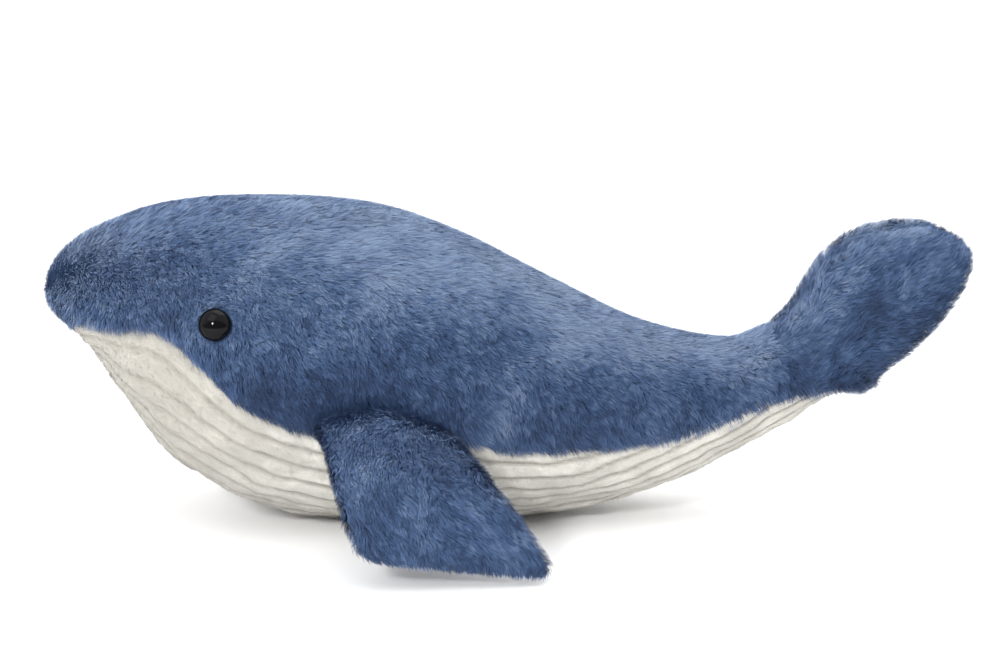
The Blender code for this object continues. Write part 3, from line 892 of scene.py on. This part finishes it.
class PileSettings(bpy.types.PropertyGroup):
    """The blue pile."""

    length: bpy.props.FloatProperty(
        name="Length", description="Length of a strand", default=0.0050, unit="LENGTH"
    )
    loft: bpy.props.FloatProperty(
        name="Loft", description="How high the laid pile stands", default=0.0036, unit="LENGTH"
    )
    strand_width: bpy.props.FloatProperty(
        name="Strand width", description="Width of a strand", default=0.00021, unit="LENGTH"
    )
    density: bpy.props.FloatProperty(
        name="Density", description="Strands to the square millimetre", default=7.2, min=0.1
    )
    lock_size: bpy.props.FloatProperty(
        name="Lock size", description="Spacing of the locks", default=0.0022, unit="LENGTH"
    )
    relief: bpy.props.FloatProperty(
        name="Relief", description="How far strands are shaded one by one", default=0.34, min=0, max=1
    )
    gather: bpy.props.FloatProperty(
        name="Gather", description="How far strands join into locks", default=0.44, min=0, max=1
    )
    dark: bpy.props.FloatVectorProperty(
        name="Dark", description="Darkest locks", default=(0.026, 0.053, 0.122), subtype="COLOR"
    )
    middle: bpy.props.FloatVectorProperty(
        name="Middle", description="Most of the pile", default=(0.080, 0.148, 0.305), subtype="COLOR"
    )
    light: bpy.props.FloatVectorProperty(
        name="Light", description="Lightest locks", default=(0.262, 0.354, 0.512), subtype="COLOR"
    )


class BellySettings(bpy.types.PropertyGroup):
    """The ribbed belly."""

    ribs: bpy.props.IntProperty(
        name="Ribs", description="Number of ribs from seam to seam", default=19, min=2
    )
    rib_depth: bpy.props.FloatProperty(
        name="Rib depth", description="Depth of the grooves", default=0.0009, unit="LENGTH"
    )
    nap_length: bpy.props.FloatProperty(
        name="Nap length", description="Length of the velour", default=0.0013, unit="LENGTH"
    )
    nap_width: bpy.props.FloatProperty(
        name="Nap width", description="Width of its strands", default=0.00022, unit="LENGTH"
    )
    nap_density: bpy.props.FloatProperty(
        name="Nap density", description="Strands to the square millimetre", default=2.2, min=0.1
    )
    white: bpy.props.FloatVectorProperty(
        name="White", description="Raised velour", default=(0.790, 0.762, 0.695), subtype="COLOR"
    )
    # Shaded and groove are also the colours of the painted shade in the grooves and under the chin
    shaded: bpy.props.FloatVectorProperty(
        name="Shaded", description="Laid velour", default=(0.535, 0.512, 0.460), subtype="COLOR"
    )
    groove: bpy.props.FloatVectorProperty(
        name="Groove", description="Bottom of a groove", default=(0.345, 0.325, 0.285), subtype="COLOR"
    )


class EyeSettings(bpy.types.PropertyGroup):
    """The safety eyes."""

    diameter: bpy.props.FloatProperty(
        name="Diameter", description="Across the dome", default=0.0135, unit="LENGTH"
    )
    height: bpy.props.FloatProperty(
        name="Height", description="Height of the dome", default=0.0062, unit="LENGTH"
    )
    shank: bpy.props.FloatProperty(
        name="Shank", description="Length of the shank", default=0.0095, unit="LENGTH"
    )


class StudioSettings(bpy.types.PropertyGroup):
    """The studio's camera."""

    lens: bpy.props.FloatProperty(
        name="Lens", description="Focal length in millimetres", default=105.0
    )
    distance: bpy.props.FloatProperty(
        name="Distance", description="Camera to whale", default=1.254, unit="LENGTH"
    )
    elevation: bpy.props.FloatProperty(
        name="Elevation",
        description="Camera above the horizon",
        default=math.radians(12.5),
        subtype="ANGLE",
    )
    aim: bpy.props.FloatVectorProperty(
        name="Aim", description="Where the camera looks", default=(-0.0015, 0.0, 0.079), unit="LENGTH"
    )


class WhaleSettings(bpy.types.PropertyGroup):
    """All that a user would change."""

    pile: bpy.props.PointerProperty(type=PileSettings)
    belly: bpy.props.PointerProperty(type=BellySettings)
    eye: bpy.props.PointerProperty(type=EyeSettings)
    studio: bpy.props.PointerProperty(type=StudioSettings)


def eye_matrix(side):
    """Return the place of an eye, with +Z looking out."""
    place, outward = body_spot(EYE_STATION, -side * EYE_ANGLE / (2 * math.pi))
    turn = Vector(outward).to_track_quat("Z", "Y").to_matrix().to_4x4()
    return Matrix.Translation(Vector(place)) @ turn


class SidePlan:
    """How the pile lies on a side of the body."""

    # The lay above, low down and on the lip, and where v is low
    back = np.array((1.0, 0.0, -0.10))
    down = np.array((0.62, 0.0, -1.0))
    lip = np.array((-0.35, 0.5, -0.9))
    low_range = (0.22, 0.85)

    # How strongly the pile parts round the eye and how far, and the bare rim
    swirl, swirl_reach, bare_rim = 1.7, 0.0125, 0.0012

    # How much longer the pile is at the seam and the snout and shorter by the
    # eye, how far up the seam and out from the eye that reaches, and where v
    # makes it upright
    seam_adds, snout_adds, eye_takes = 0.18, 0.20, 0.35
    seam_reach, eye_reach = 0.10, 0.006
    upright_below, upright_above = (0.30, 0.75), (0.0, 0.12)

    # The bare line along the back, its unevenness and the panel's scale there
    bare_line, line_range, back_scale = 0.0008, (0.3, 1.3), 0.12

    # Tone of the plain side, and what each place adds to it: painted light on what faces up, less of
    # it at the brow, painted shade on what faces down and by the roots of fins and lobes, a dark back
    # seam, a lighter snout and a darker lower cheek
    plain = 0.40
    tones = {
        "painted_top_light": 0.58,
        "brow": -0.36,
        "seam": -0.25,
        "snout": 0.38,
        "flipper_root_shade": -0.24,
        "under": -0.13,
        "cheek": -0.36,
    }

    def __init__(self, side, eye_radius):
        self.side = side
        self.eye = np.array(eye_matrix(side).translation)
        self.eye_radius = eye_radius
        # Points round the roots of the fins and lobes, next to which the body's pile gets painted
        # shade
        u, v = np.meshgrid(np.linspace(Flipper.u_start, 0.10, 10), np.linspace(0.0, 1.0, 48))
        flippers = (fin_form(side, FLIPPER_PILE_DEPTH), lobe_form(side, FLIPPER_PILE_DEPTH))
        self.roots = np.concatenate([form.points(u.ravel(), v.ravel()) for form in flippers])

    def flow(self, points, u, v):
        """Return the way that the pile lies."""
        low = 1.0 - ramp(v, *self.low_range)[:, None]
        heading = self.back * (1 - low) + self.down * low
        behind = points[:, 0] - HEAD_X + ripples(points, LIP_WAVES)
        front = (1.0 - ramp(behind, *LIP_REACH)) * (1.0 - ramp(points[:, 2], *LIP_HEIGHTS))
        front = front[:, None]
        heading = heading * (1 - front) + self.lip * (1.0, self.side, 1.0) * front
        away = points - self.eye
        reach = np.linalg.norm(away, axis=1, keepdims=True)
        return heading + unit(away) * self.swirl * np.exp(-((reach / self.swirl_reach) ** 2))

    def stretch(self, points, u, v):
        """Return how much longer the pile is: over the seam and the snout, not by the eye."""
        seam = 1.0 - ramp(v, 0.0, self.seam_reach)
        reach = np.linalg.norm(points - self.eye, axis=1) - self.eye_radius
        near_eye = 1.0 - ramp(reach, 0.0, self.eye_reach)
        longer = 1.0 + self.seam_adds * seam + self.snout_adds * ahead(points, SNOUT_REACH)
        return longer * (1.0 - self.eye_takes * near_eye)

    def stand(self, points, u, v):
        """Return how upright the pile is: more on the lower side and the snout."""
        lower = (1.0 - ramp(v, *self.upright_below)) * ramp(v, *self.upright_above)
        return np.maximum(lower, ahead(points, SNOUT_REACH))

    def keep(self, points, u, v, rng):
        """Leave out the eye and the line of the back seam."""
        off_eye = np.linalg.norm(points - self.eye, axis=1) > self.eye_radius + self.bare_rim
        line = self.bare_line * rng.uniform(*self.line_range, len(v))
        off_back = (1.0 - v) * self.back_scale > line
        return off_eye & off_back

    def shade(self, points, normals, u, v):
        """Return the tone: painted light above, painted shade below, darker along the back seam, and
        painted shade by the seams at the fin and lobe roots.
        """
        x, z = points[:, 0], points[:, 2]
        # Painted light: the pile is lighter the more it faces up
        painted_top_light = ramp(normals[:, 2], 0.22, 1.0)
        near = np.linalg.norm(points - self.roots[nearest(points, self.roots)], axis=1)
        cheek = np.exp(-(((x - self.eye[0] - CHEEK_BACK) / CHEEK_SPREAD) ** 2))
        shares = {
            "painted_top_light": painted_top_light,
            # Less of the painted top light towards the head
            "brow": painted_top_light * ahead(points, BROW_REACH),
            "seam": 1.0 - ramp(1.0 - v, 0.0, 0.015),
            "snout": ahead(points, TIP_REACH),
            # Painted shade on the body's pile next to the fin and lobe roots
            "flipper_root_shade": 1.0 - ramp(near, 0.002, 0.011),
            # Painted shade: darker where the pile faces down, less so towards the tail
            "under": ramp(-normals[:, 2], -0.35, 0.35) * (1.0 - 0.5 * ramp(x, 0.0, 0.10)),
            "cheek": cheek * (1.0 - ramp(z, *CHEEK_HEIGHTS)),
        }
        tone = self.plain + ripples(points, SIDE_CLOUDS)
        return tone + sum(self.tones[place] * share for place, share in shares.items())


class FlipperPlan:
    """How the pile lies on a fin or lobe."""

    # The pile's length, shorter at the tip, and how upright it is
    length_share, tip_takes, tip_range, upright = 0.95, 0.20, (0.75, 1.0), 0.4

    # Tone of the plain cloth, the painted light on what faces up and the painted shade in the fold at
    # the root, and where the fold ends and the painted light on the leading edge fades
    plain, upper_adds, fold_takes = 0.33, 0.20, 0.26
    fold_end, lead_range = 0.05, (0.05, 0.40)

    def __init__(self, form, lean, painted_edge_light):
        self.form = form
        self.lean = lean
        self.painted_edge_light = painted_edge_light

    def flow(self, points, u, v):
        """Return the way that the pile lies."""
        along = self.form.frames(u, v)[2]
        return along + self.form.along * self.lean(u)[:, None]

    def stretch(self, points, u, v):
        """Return how much longer the pile is: a little shorter round the tip."""
        return self.length_share - self.tip_takes * ramp(u, *self.tip_range)

    def stand(self, points, u, v):
        """Return how upright the pile is."""
        return np.full(len(u), self.upright)

    def keep(self, points, u, v, rng):
        """Keep all of it."""
        return np.full(len(u), True)

    def shade(self, points, normals, u, v):
        """Return the tone: painted light above and on the leading edge, painted shade in the fold at
        the root.
        """
        # Painted shade in the fold where the root meets the body
        fold = 1.0 - ramp(u, self.form.u_start, self.fold_end)
        across = (1.0 - np.cos(2 * math.pi * v)) / 2
        # Painted light on the leading edge and on what faces up
        lead = self.painted_edge_light * (1.0 - ramp(across, *self.lead_range))
        tone = self.plain + self.upper_adds * normals[:, 2] + lead
        return tone - self.fold_takes * fold + ripples(points, FLIPPER_CLOUDS)


class WHALE_OT_side_panels(bpy.types.Operator):
    """Make the two blue sides with their pile"""

    bl_idname = "whale.side_panels"
    bl_label = "Side panels"

    def execute(self, context):
        pile = context.scene.whale_looks.pile
        radius = context.scene.whale_looks.eye.diameter / 2
        for side, name in SIDES:
            form = SideSkin(side, PILE_DEPTH)
            label = name + "_side_skin"
            mesh = grid_mesh(label, form_grid(form, *SIDE_GRID)[0])
            cloth = ("whale_body", "blue_plush", backing_finish("blue_backing", BACKING_BLUE))
            new_soft_piece(label, mesh, *cloth, name + "_side_panel", 0.8)
            plan = SidePlan(side, radius)
            finish = pile_finish("blue_pile", pile)
            how = (plan, SIDE_PILE_PARTS, pile, SIDE_SEED)
            for made in grow_pile(name + "_side_pile", form, (0.0, 1.0), *how):
                new_piece(made.name, made, "whale_body", finish)
        return {"FINISHED"}


class WHALE_OT_belly(bpy.types.Operator):
    """Make the ribbed belly with its short nap"""

    bl_idname = "whale.belly"
    bl_label = "Belly"

    def execute(self, context):
        looks = context.scene.whale_looks.belly
        form = BellySkin(VELOUR_DEPTH, looks.ribs, looks.rib_depth)
        rows, _, v = form_grid(form, BELLY_ROWS, looks.ribs * RIB_STEPS + 1)
        mesh = grid_mesh("belly_skin", rows)
        # The groove attribute carries the painted shade of the grooves and the chin
        groove = mesh.attributes.new("groove", "FLOAT", "POINT")
        groove.data.foreach_set("value", form.shade(rows.reshape(-1, 3), v).astype(np.float32))
        cloth = ("whale_body", "ribbed_white", velour_finish("ribbed_velour", looks))
        new_soft_piece("belly_skin", mesh, *cloth, "belly_panel", 0.8)

        rng = np.random.default_rng(NAP_SEED)
        u, v = scattered(form, looks.nap_density * 1e6, (0.0, 1.0), rng)
        roots, normals, along, across = form.frames(u, v)
        kept = roots[:, 2] > NAP_LEAST_Z
        roots, normals, along = roots[kept], normals[kept], along[kept]
        across, v = across[kept], v[kept]
        lean = along + across * rng.normal(0.0, NAP_UNREST, len(v))[:, None]
        length = looks.nap_length * rng.uniform(*NAP_LENGTHS, len(v))[:, None]
        tips = roots + normals * length * NAP_RISE + unit(lean) * length * NAP_LEAN
        tips[:, 2] = np.maximum(tips[:, 2], LEAST_TIP_Z)
        wide = unit(np.cross(lean, normals)) * looks.nap_width / 2
        # Painted shade: the nap darkens in the grooves and under the chin
        tone = NAP_TONE - NAP_GROOVE * form.shade(roots, v)
        tone = tone + NAP_CONTRAST * (rng.random(len(v)) - 0.5)
        levels = (roots - normals * NAP_SINK, tips)
        nap = strand_mesh("belly_nap", levels, (wide,), tone, (0.0, 1.0), normals)
        new_piece("belly_nap", nap, "whale_body", nap_finish("velour_nap", looks))
        return {"FINISHED"}


def dress_flipper(name, form, pile, plan):
    """Make the two skins of a flipper with their pile."""
    faces = (("top", (0.0, 0.5)), ("underside", (0.5, 1.0)))
    for seed, (face, v_range) in enumerate(faces, FLIPPER_SEEDS):
        label = f"{name}_{face}"
        mesh = grid_mesh(label + "_skin", form_grid(form, *FLIPPER_GRID, v_range)[0])
        cloth = (name, "blue_plush", backing_finish("blue_backing", BACKING_BLUE))
        new_soft_piece(label + "_skin", mesh, *cloth, label + "_panel", 0.7)
        for made in grow_pile(label + "_pile", form, v_range, plan, 1, pile, seed):
            new_piece(made.name, made, name, pile_finish("blue_pile", pile))


class WHALE_OT_fins(bpy.types.Operator):
    """Make the side fins"""

    bl_idname = "whale.fins"
    bl_label = "Side fins"

    def execute(self, context):
        pile = context.scene.whale_looks.pile
        for side, name in SIDES:
            form = fin_form(side, FLIPPER_PILE_DEPTH)
            plan = FlipperPlan(form, lambda u: 0.10 - 0.65 * (1.0 - u), 0.0)
            dress_flipper(name + "_fin", form, pile, plan)
        return {"FINISHED"}


class WHALE_OT_tail_lobes(bpy.types.Operator):
    """Make the raised tail lobes"""

    bl_idname = "whale.tail_lobes"
    bl_label = "Tail lobes"

    def execute(self, context):
        pile = context.scene.whale_looks.pile
        for side, name in SIDES:
            form = lobe_form(side, FLIPPER_PILE_DEPTH)
            # The 0.22 is the painted light on each lobe's leading edge
            plan = FlipperPlan(form, lambda u: 0.25 - 0.1 * u, 0.22)
            dress_flipper(name + "_lobe", form, pile, plan)
        return {"FINISHED"}


def turned_mesh(name, profile, steps, matrix):
    """Make a solid of revolution from radius and height pairs."""
    radii, heights = np.array(profile).T
    angles = np.linspace(0.0, 2 * math.pi, steps, endpoint=False)
    rows = np.stack(
        (
            radii[:, None] * np.cos(angles),
            radii[:, None] * np.sin(angles),
            np.repeat(heights[:, None], steps, axis=1),
        ),
        axis=-1,
    )
    mesh = grid_mesh(name, rows, closed=True)
    mesh.transform(matrix)
    mesh.set_sharp_from_angle(angle=math.radians(40.0))
    return mesh


class WHALE_OT_eyes(bpy.types.Operator):
    """Make the safety eyes and finish their washers"""

    bl_idname = "whale.eyes"
    bl_label = "Eyes"

    def execute(self, context):
        looks = context.scene.whale_looks.eye
        gloss = plastic_finish("eye_gloss", (0.003, 0.003, 0.0035), 0.010, 0.022, 0.12)
        moulded = plastic_finish("washer_moulded", (0.62, 0.62, 0.60), 0.4, 0.55)
        radius = looks.diameter / 2
        base = -EYE_POCKET_DEPTH + EYE_FIT
        end = base - looks.shank
        profile = [(AXIS_RADIUS, end), (SHANK_RADIUS - 0.0002, end), (SHANK_RADIUS, end + EYE_EDGE)]
        profile += [(SHANK_RADIUS, base - looks.shank * share) for share in (0.7, 0.45, 0.2, 0.0)]
        profile += [(radius - EYE_EDGE, base), (radius, base + EYE_EDGE)]
        for angle in np.linspace(0.0, math.pi / 2, DOME_STEPS + 1):
            dome = EYE_RIM + (looks.height - EYE_RIM) * math.sin(angle)
            profile.append((max(radius * math.cos(angle), AXIS_RADIUS), base + dome))
        for side, name in SIDES:
            mesh = turned_mesh(name + "_eye_dome", profile, EYE_STEPS, eye_matrix(side))
            dome = new_piece(name + "_eye_dome", mesh, "whale_body", gloss)
            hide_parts(name + "_eye")
            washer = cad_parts[name + "_eye_washer"]
            washer.material_slots[0].material = moulded
        return {"FINISHED"}


class WHALE_OT_stuffing(bpy.types.Operator):
    """Make the stuffing inside body, fins and lobes"""

    bl_idname = "whale.stuffing"
    bl_label = "Stuffing"

    def stuff(self, name, rows, body, node):
        """Make one piece of lumpy stuffing from rings of points."""
        lumps = ripples(rows.reshape(-1, 3), STUFFING_LUMPS).reshape(*rows.shape[:2], 1)
        centre = rows.mean(axis=1, keepdims=True)
        rows = rows + unit(rows - centre) * (lumps - STUFFING_SHRINK)
        mesh = grid_mesh(name, rows, closed=True)
        new_soft_piece(name, mesh, body, "fibre", fibre_finish("white_fibre"), node, 0.8)

    def execute(self, context):
        stations = (1.0 - np.cos(math.pi * np.linspace(*BODY_RINGS))) / 2
        turns = np.linspace(0.0, 1.0, BODY_TURNS, endpoint=False)
        u, v = np.meshgrid(stations, turns, indexing="ij")
        rows = BODY.inner(u.ravel(), v.ravel(), STUFFING_DEPTH)[0].reshape(*u.shape, 3)
        self.stuff("body_stuffing", rows, "whale_body", "body_filling")
        turns = np.linspace(0.0, 1.0, FLIPPER_TURNS, endpoint=False)
        u, v = np.meshgrid(np.linspace(*FLIPPER_RINGS), turns, indexing="ij")
        for side, name in SIDES:
            fin, lobe = fin_form(side, FIN_STUFFING_DEPTH), lobe_form(side, LOBE_STUFFING_DEPTH)
            for kind, form in (("fin", fin), ("lobe", lobe)):
                rows = form.points(u.ravel(), v.ravel()).reshape(*u.shape, 3)
                node = f"{name}_{kind}"
                self.stuff(node + "_stuffing", rows, node, node + "_filling")
        return {"FINISHED"}


def area_light(name, place, aim, size, power, shape="SQUARE"):
    """Add a soft light that faces a point."""
    data = bpy.data.lights.new(name, "AREA")
    data.shape = shape
    data.size = size
    data.energy = power
    made = bpy.data.objects.new(name, data)
    made.location = place
    made.rotation_euler = (Vector(aim) - Vector(place)).to_track_quat("-Z", "Y").to_euler()
    bpy.context.scene.collection.objects.link(made)


def backdrop(tree):
    """Light the room evenly white, but dark low down behind the camera."""
    place = tree.nodes.new("ShaderNodeTexCoord")
    split = tree.nodes.new("ShaderNodeSeparateXYZ")
    lean = tree.nodes.new("ShaderNodeMath")
    shift = tree.nodes.new("ShaderNodeMath")
    shade = tree.nodes.new("ShaderNodeValToRGB")
    lean.operation = "MULTIPLY_ADD"
    lean.inputs[1].default_value = BACKDROP_LEAN
    shift.inputs[1].default_value = 0.5
    for element, (position, colour) in zip(shade.color_ramp.elements, BACKDROP_STOPS):
        element.position = position
        element.color = (*colour, 1.0)
    tree.links.new(place.outputs["Generated"], split.inputs["Vector"])
    tree.links.new(split.outputs["Z"], lean.inputs[0])
    tree.links.new(split.outputs["Y"], lean.inputs[2])
    tree.links.new(lean.outputs[0], shift.inputs[0])
    tree.links.new(shift.outputs[0], shade.inputs["Fac"])
    tree.links.new(shade.outputs["Color"], tree.nodes["Background"].inputs["Color"])
    tree.nodes["Background"].inputs["Strength"].default_value = BACKDROP_STRENGTH


class WHALE_OT_studio(bpy.types.Operator):
    """Make the floor, the lights and the camera"""

    bl_idname = "whale.studio"
    bl_label = "Studio"

    def execute(self, context):
        looks = context.scene.whale_looks.studio
        scene = context.scene
        floor = bpy.data.meshes.new("floor")
        corners = [(FLOOR_HALF * x, FLOOR_HALF * y, 0) for x, y in FLOOR_CORNERS]
        floor.from_pydata(corners, [], [(0, 1, 2, 3)])
        paper = Finish("white_paper")
        tone = paper.colours(paper.noise(3.0), ((0.3, (0.95, 0.95, 0.95)), (0.7, (0.97, 0.97, 0.97))))
        paper.link(tone, paper.shader.inputs["Base Color"])
        paper.values(roughness=0.9)
        floor.materials.append(paper.material)
        stage = bpy.data.objects.new("floor", floor)
        scene.collection.objects.link(stage)

        world = bpy.data.worlds.new("studio")
        world.use_nodes = True
        backdrop(world.node_tree)
        scene.world = world
        for name, place, size, power in LIGHTS:
            area_light(name, place, LIGHT_AIM, size, power)
        scene.view_settings.view_transform = "Standard"

        camera = bpy.data.cameras.new("camera")
        camera.lens = looks.lens
        camera.sensor_width = 36.0
        view = bpy.data.objects.new("camera", camera)
        aim = Vector(looks.aim)
        back = Vector((0.0, -math.cos(looks.elevation), math.sin(looks.elevation)))
        view.location = aim + back * looks.distance
        view.rotation_euler = (-back).to_track_quat("-Z", "Y").to_euler()
        scene.collection.objects.link(view)
        scene.camera = view

        eye = eye_matrix(-1)
        outward = (eye.to_3x3() @ Vector((0.0, 0.0, 1.0))).normalized()
        seen = (view.location - eye.translation).normalized()
        glint = 2 * outward.dot(seen) * outward - seen
        place = eye.translation + glint * looks.distance
        area_light("front", place, eye.translation, GLINT_SIZE, GLINT_POWER, "DISK")
        return {"FINISHED"}


OPERATORS = (
    WHALE_OT_side_panels,
    WHALE_OT_belly,
    WHALE_OT_fins,
    WHALE_OT_tail_lobes,
    WHALE_OT_eyes,
    WHALE_OT_stuffing,
    WHALE_OT_studio,
)
SETTINGS = (PileSettings, BellySettings, EyeSettings, StudioSettings, WhaleSettings)


class WHALE_PT_looks(bpy.types.Panel):
    """Shows the whale's settings and the buttons that make its pieces."""

    bl_idname = "WHALE_PT_looks"
    bl_label = "Plush whale"
    bl_space_type = "VIEW_3D"
    bl_region_type = "UI"
    bl_category = "Plush whale"

    def draw(self, context):
        looks = context.scene.whale_looks
        for group in (looks.pile, looks.belly, looks.eye, looks.studio):
            box = self.layout.box()
            for key in group.__annotations__:
                box.prop(group, key)
        for operator in OPERATORS:
            self.layout.operator(operator.bl_idname)


def register():
    """Register the settings, the operators and the panel."""
    for item in (*SETTINGS, *OPERATORS, WHALE_PT_looks):
        bpy.utils.register_class(item)
    bpy.types.Scene.whale_looks = bpy.props.PointerProperty(type=WhaleSettings)


def unregister():
    """Remove what register added."""
    del bpy.types.Scene.whale_looks
    for item in (WHALE_PT_looks, *reversed(OPERATORS), *reversed(SETTINGS)):
        bpy.utils.unregister_class(item)


def main():
    """Make every piece and the studio."""
    register()
    bpy.ops.whale.side_panels()
    bpy.ops.whale.belly()
    bpy.ops.whale.fins()
    bpy.ops.whale.tail_lobes()
    bpy.ops.whale.eyes()
    bpy.ops.whale.stuffing()
    bpy.ops.whale.studio()


if __name__ == "__main__":
    main()
